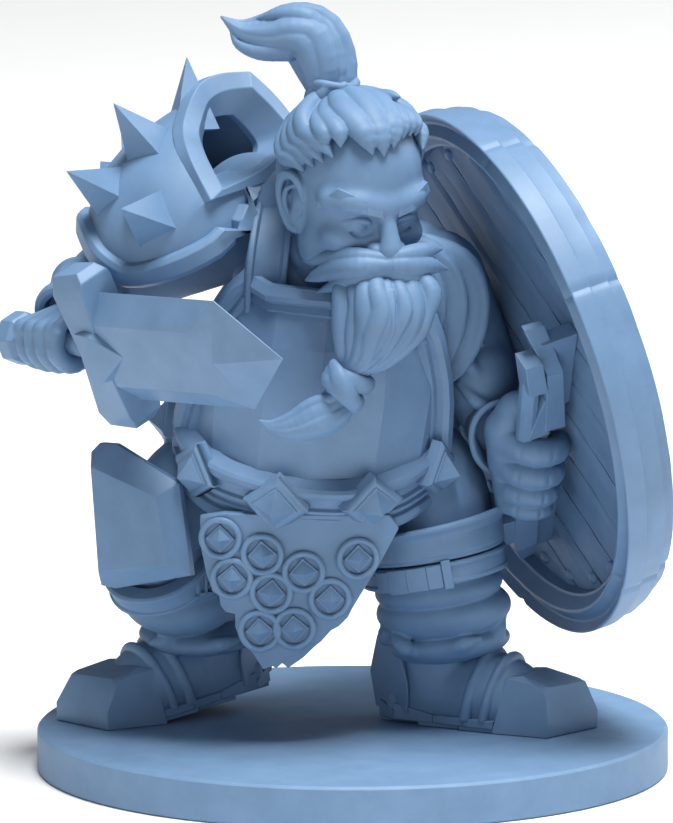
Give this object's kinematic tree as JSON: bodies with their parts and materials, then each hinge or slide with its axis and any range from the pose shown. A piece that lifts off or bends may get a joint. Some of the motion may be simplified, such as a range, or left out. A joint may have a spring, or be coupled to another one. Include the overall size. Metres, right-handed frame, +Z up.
{
  "type": "tabletop miniature figure",
  "caption": "Stocky bearded shield-bearer miniature in a low fighting stance on a round base, with a round board shield, a short broad sword and a spiked shoulder guard.",
  "frame": {"origin": "centre of the round base's flat underside", "axes": "+Z up, the figure faces -Y, its shield is on its left at +X and its sword in its right hand at -X"},
  "size_m": [0.0266, 0.025, 0.0312],
  "materials": {
    "base": "smooth moulded plastic under one even matt coat",
    "skin": "cast resin under one even matt coat, skin areas",
    "hair": "cast resin under one even matt coat, combed strand grooves",
    "cloth": "cast resin under one even matt coat, cloth folds",
    "leather": "cast resin under one even matt coat, leather areas",
    "armour": "cast resin under one even matt coat, flat armour facets",
    "wood": "cast resin under one even matt coat, board lines"
  },
  "bodies": {
    "root": {"base_disc": "base", "left_boot": "leather", "left_sole": "leather", "left_toe_cap": "armour", "left_heel_guard": "armour", "right_boot": "leather", "right_sole": "leather", "right_toe_cap": "armour", "right_heel_guard": "armour", "left_trouser_leg": "cloth", "right_trouser_leg": "cloth", "trouser_seat": "cloth", "left_knee_band": "leather", "left_knee_belt": "leather", "right_knee_strap": "leather", "right_knee_guard": "armour", "apron": "leather", "apron_rings": "armour", "apron_gems": "armour", "belt": "leather", "belt_stud_plates": "armour", "belt_gems": "armour", "torso": "cloth", "breastplate": "armour", "breastplate_trim": "armour", "back_plate": "armour", "shoulder_strap": "leather", "collar": "cloth", "head": "skin", "hair_cap": "hair", "topknot_band": "leather", "ponytail": "hair", "eyebrows": "hair", "moustache": "hair", "beard": "hair", "beard_tie": "leather", "beard_tail": "hair", "right_arm": "cloth", "right_bracer": "leather", "right_hand": "skin", "pauldron_shell": "armour", "pauldron_rim": "armour", "pauldron_crest": "armour", "pauldron_spikes": "armour", "sword_blade": "armour", "sword_guard": "armour", "sword_grip": "leather", "sword_pommel": "armour", "left_arm": "cloth", "left_cuff": "leather", "left_hand": "skin", "left_mantle": "cloth", "shield_boards": "wood", "shield_rim": "armour", "shield_boss": "armour", "shield_rivets": "armour", "shield_handle": "armour"}
  },
  "joints": []
}
